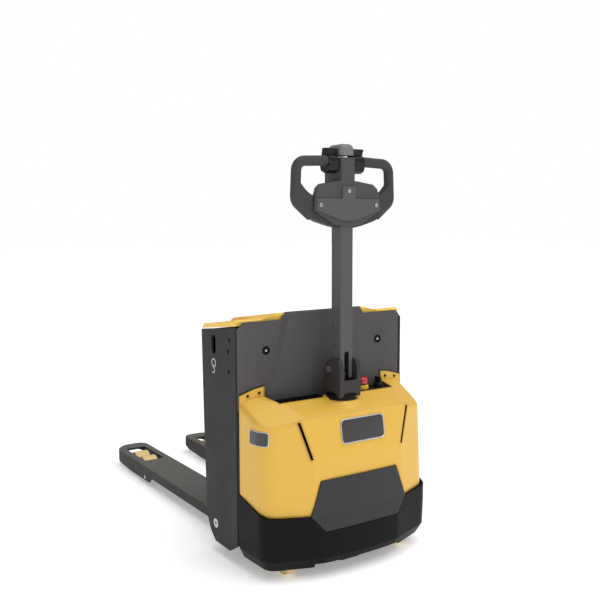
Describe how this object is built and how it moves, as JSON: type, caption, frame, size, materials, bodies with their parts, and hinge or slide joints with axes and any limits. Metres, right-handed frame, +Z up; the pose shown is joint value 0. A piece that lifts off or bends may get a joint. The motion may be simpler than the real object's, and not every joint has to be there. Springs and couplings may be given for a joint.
{
  "type": "electric pallet truck",
  "caption": "Walk-behind electric pallet truck with steering tiller, battery box, lifting forks on coupled load wheels, swivel castors and a steered drive wheel.",
  "frame": {"origin": "on the floor, under the middle of the truck's bounding box", "axes": "+Y along the forks towards their tips, +X to the right seen by the operator, +Z up"},
  "size_m": [0.72, 1.6819, 1.47],
  "materials": {
    "cover_yellow": "satin moulded yellow",
    "panel_grey": "satin powder coat",
    "plate_grey": "satin powder coat",
    "fork_grey": "satin powder coat",
    "frame_black": "satin black paint",
    "bumper_black": "semi-gloss moulded black",
    "tray_black": "grained black",
    "tiller_grey": "satin powder coat",
    "head_grey": "fine grained grey",
    "loop_grey": "fine grained grey",
    "control_black": "black",
    "button_silver": "light grey",
    "stop_red": "glossy red",
    "stop_yellow": "yellow",
    "tyre_black": "solid rubber",
    "wheel_polyurethane": "pale yellow polyurethane",
    "hub_iron": "cast",
    "steel": "machined",
    "screw_black": "blackened steel",
    "motor_grey": "painted",
    "aluminium": "cast",
    "battery_case": "moulded",
    "chrome_rod": "ground and plated"
  },
  "bodies": {
    "chassis": {"chassis_frame": "frame_black", "bulkhead_panel": "panel_grey", "body_screws": "screw_black", "motor_cover": "cover_yellow", "bumper": "bumper_black", "bumper_panel": "bumper_black", "storage_tray": "tray_black", "control_plate": "panel_grey", "stop_button_collar": "stop_yellow", "pump_motor": "motor_grey", "oil_tank": "tray_black", "motor_controller": "aluminium", "lift_cylinder": "frame_black", "steering_bearing": "steel"},
    "carriage": {"side_plate_left": "plate_grey", "side_plate_right": "plate_grey", "battery_box": "frame_black", "fork_left": "fork_grey", "fork_right": "fork_grey", "battery": "battery_case", "battery_connector": "stop_red", "lift_rod": "chrome_rod", "guide_rollers": "steel", "link_pins": "steel", "pivot_bolts": "steel", "cover_hinge_pins": "steel"},
    "battery_cover": {"battery_cover": "cover_yellow"},
    "drive_unit": {"gearbox": "hub_iron", "drive_motor": "motor_grey", "tiller_bracket": "tiller_grey", "tiller_pin": "steel"},
    "drive_wheel": {"drive_wheel_hub": "hub_iron", "drive_wheel_tyre": "tyre_black"},
    "tiller": {"tiller_arm": "tiller_grey", "head_body": "head_grey", "head_plate": "head_grey", "head_screws": "steel", "handle_loop": "loop_grey"},
    "thumb_control": {"thumb_control": "control_black"},
    "safety_button": {"safety_button": "button_silver"},
    "horn_button": {"horn_button": "control_black"},
    "lift_switch": {"lift_switch": "control_black"},
    "gas_spring_rod": {"gas_spring_rod": "chrome_rod"},
    "gas_spring_tube": {"gas_spring_tube": "screw_black"},
    "stop_button": {"stop_button": "stop_red"},
    "key_switch": {"key_switch": "control_black"},
    "lift_rocker": {"lift_rocker": "frame_black"},
    "push_rods": {"push_rods": "steel"},
    "castor_swivel_left": {"castor_yoke_left": "steel"},
    "castor_wheel_left": {"castor_wheel_left": "wheel_polyurethane"},
    "load_link_left": {"load_link_left": "frame_black"},
    "bogie_left": {"bogie_left": "steel"},
    "castor_swivel_right": {"castor_yoke_right": "steel"},
    "castor_wheel_right": {"castor_wheel_right": "wheel_polyurethane"},
    "load_link_right": {"load_link_right": "frame_black"},
    "bogie_right": {"bogie_right": "steel"},
    "load_wheel_left_rear": {"load_wheel_left_rear": "wheel_polyurethane"},
    "load_wheel_left_front": {"load_wheel_left_front": "wheel_polyurethane"},
    "load_wheel_right_rear": {"load_wheel_right_rear": "wheel_polyurethane"},
    "load_wheel_right_front": {"load_wheel_right_front": "wheel_polyurethane"}
  },
  "joints": [
    {"name": "lift", "type": "slide", "parent": "chassis", "child": "carriage", "axis": [0, 0, 1], "range_m": [0, 0.115]},
    {"name": "battery_cover_hinge", "type": "hinge", "parent": "carriage", "child": "battery_cover", "pos_m": [0, -0.322, 0.822], "axis": [-1, 0, 0], "range_deg": [0, 75]},
    {"name": "steer", "type": "hinge", "parent": "chassis", "child": "drive_unit", "pos_m": [0, -0.705, 0.34], "axis": [0, 0, 1], "range_deg": [-90, 90]},
    {"name": "drive_wheel_spin", "type": "hinge", "parent": "drive_unit", "child": "drive_wheel", "pos_m": [0, -0.705, 0.105], "axis": [1, 0, 0], "continuous": true},
    {"name": "tiller_tilt", "type": "hinge", "parent": "drive_unit", "child": "tiller", "pos_m": [0, -0.688, 0.69], "axis": [1, 0, 0], "range_deg": [0, 80], "stiffness_Nm_per_rad": 25, "springref_deg": -22.92},
    {"name": "gas_spring_swing", "type": "hinge", "parent": "drive_unit", "child": "gas_spring_rod", "pos_m": [0, -0.71098, 0.67072], "axis": [1, 0, 0], "range_deg": [0, 80]},
    {"name": "gas_spring_stroke", "type": "slide", "parent": "gas_spring_rod", "child": "gas_spring_tube", "axis": [0, 0.0482, 0.9988], "range_m": [-0.0395, 0.001]},
    {"name": "thumb_control_turn", "type": "hinge", "parent": "tiller", "child": "thumb_control", "pos_m": [0, -0.712, 1.414], "axis": [1, 0, 0], "range_deg": [-25, 25], "stiffness_Nm_per_rad": 1},
    {"name": "safety_button_press", "type": "slide", "parent": "tiller", "child": "safety_button", "axis": [0, 0, -1], "range_m": [0, 0.006], "stiffness_N_per_m": 1500, "springref_m": -0.003},
    {"name": "horn_button_press", "type": "slide", "parent": "tiller", "child": "horn_button", "axis": [0, -1, 0], "range_m": [0, 0.004], "stiffness_N_per_m": 800, "springref_m": -0.002},
    {"name": "lift_switch_rock", "type": "hinge", "parent": "tiller", "child": "lift_switch", "pos_m": [0.077, -0.69, 1.3], "axis": [1, 0, 0], "range_deg": [-10, 10], "stiffness_Nm_per_rad": 0.3},
    {"name": "stop_button_press", "type": "slide", "parent": "chassis", "child": "stop_button", "axis": [0, 0, -1], "range_m": [0, 0.005]},
    {"name": "key_turn", "type": "hinge", "parent": "chassis", "child": "key_switch", "pos_m": [0.215, -0.641, 0.59], "axis": [0, 0, -1], "range_deg": [0, 90]},
    {"name": "castor_swivel_left", "type": "hinge", "parent": "chassis", "child": "castor_swivel_left", "pos_m": [-0.244, -0.682, 0.134], "axis": [0, 0, 1], "continuous": true},
    {"name": "castor_spin_left", "type": "hinge", "parent": "castor_swivel_left", "child": "castor_wheel_left", "pos_m": [-0.244, -0.71, 0.05], "axis": [1, 0, 0], "continuous": true},
    {"name": "castor_swivel_right", "type": "hinge", "parent": "chassis", "child": "castor_swivel_right", "pos_m": [0.244, -0.682, 0.134], "axis": [0, 0, 1], "continuous": true},
    {"name": "castor_spin_right", "type": "hinge", "parent": "castor_swivel_right", "child": "castor_wheel_right", "pos_m": [0.244, -0.71, 0.05], "axis": [1, 0, 0], "continuous": true},
    {"name": "rocker_turn", "type": "hinge", "parent": "carriage", "child": "lift_rocker", "pos_m": [0, -0.42, 0.112], "axis": [1, 0, 0], "range_deg": [0, 28.06]},
    {"name": "push_rods_slide", "type": "slide", "parent": "carriage", "child": "push_rods", "axis": [0, 1, 0], "range_m": [0, 0.0214]},
    {"name": "load_link_turn_left", "type": "hinge", "parent": "carriage", "child": "load_link_left", "pos_m": [-0.188, 0.455, 0.032], "axis": [-1, 0, 0], "range_deg": [0, 36.56]},
    {"name": "bogie_turn_left", "type": "hinge", "parent": "load_link_left", "child": "bogie_left", "pos_m": [-0.188, 0.645, 0.042], "axis": [1, 0, 0], "range_deg": [0, 36.56]},
    {"name": "load_wheel_spin_left_rear", "type": "hinge", "parent": "bogie_left", "child": "load_wheel_left_rear", "pos_m": [-0.188, 0.599, 0.042], "axis": [1, 0, 0], "continuous": true},
    {"name": "load_wheel_spin_left_front", "type": "hinge", "parent": "bogie_left", "child": "load_wheel_left_front", "pos_m": [-0.188, 0.691, 0.042], "axis": [1, 0, 0], "continuous": true},
    {"name": "load_link_turn_right", "type": "hinge", "parent": "carriage", "child": "load_link_right", "pos_m": [0.188, 0.455, 0.032], "axis": [-1, 0, 0], "range_deg": [0, 36.56]},
    {"name": "bogie_turn_right", "type": "hinge", "parent": "load_link_right", "child": "bogie_right", "pos_m": [0.188, 0.645, 0.042], "axis": [1, 0, 0], "range_deg": [0, 36.56]},
    {"name": "load_wheel_spin_right_rear", "type": "hinge", "parent": "bogie_right", "child": "load_wheel_right_rear", "pos_m": [0.188, 0.599, 0.042], "axis": [1, 0, 0], "continuous": true},
    {"name": "load_wheel_spin_right_front", "type": "hinge", "parent": "bogie_right", "child": "load_wheel_right_front", "pos_m": [0.188, 0.691, 0.042], "axis": [1, 0, 0], "continuous": true}
  ],
  "couplings": [
    {"joint": "gas_spring_swing", "follows": "tiller_tilt", "ratio": 0.99424},
    {"joint": "gas_spring_stroke", "follows": "tiller_tilt", "m_per_rad": -0.027584},
    {"joint": "rocker_turn", "follows": "lift", "rad_per_m": 4.2516},
    {"joint": "push_rods_slide", "follows": "lift", "ratio": 0.18521},
    {"joint": "load_link_turn_left", "follows": "lift", "rad_per_m": 5.5407},
    {"joint": "bogie_turn_left", "follows": "lift", "rad_per_m": 5.5407},
    {"joint": "load_link_turn_right", "follows": "lift", "rad_per_m": 5.5407},
    {"joint": "bogie_turn_right", "follows": "lift", "rad_per_m": 5.5407}
  ]
}
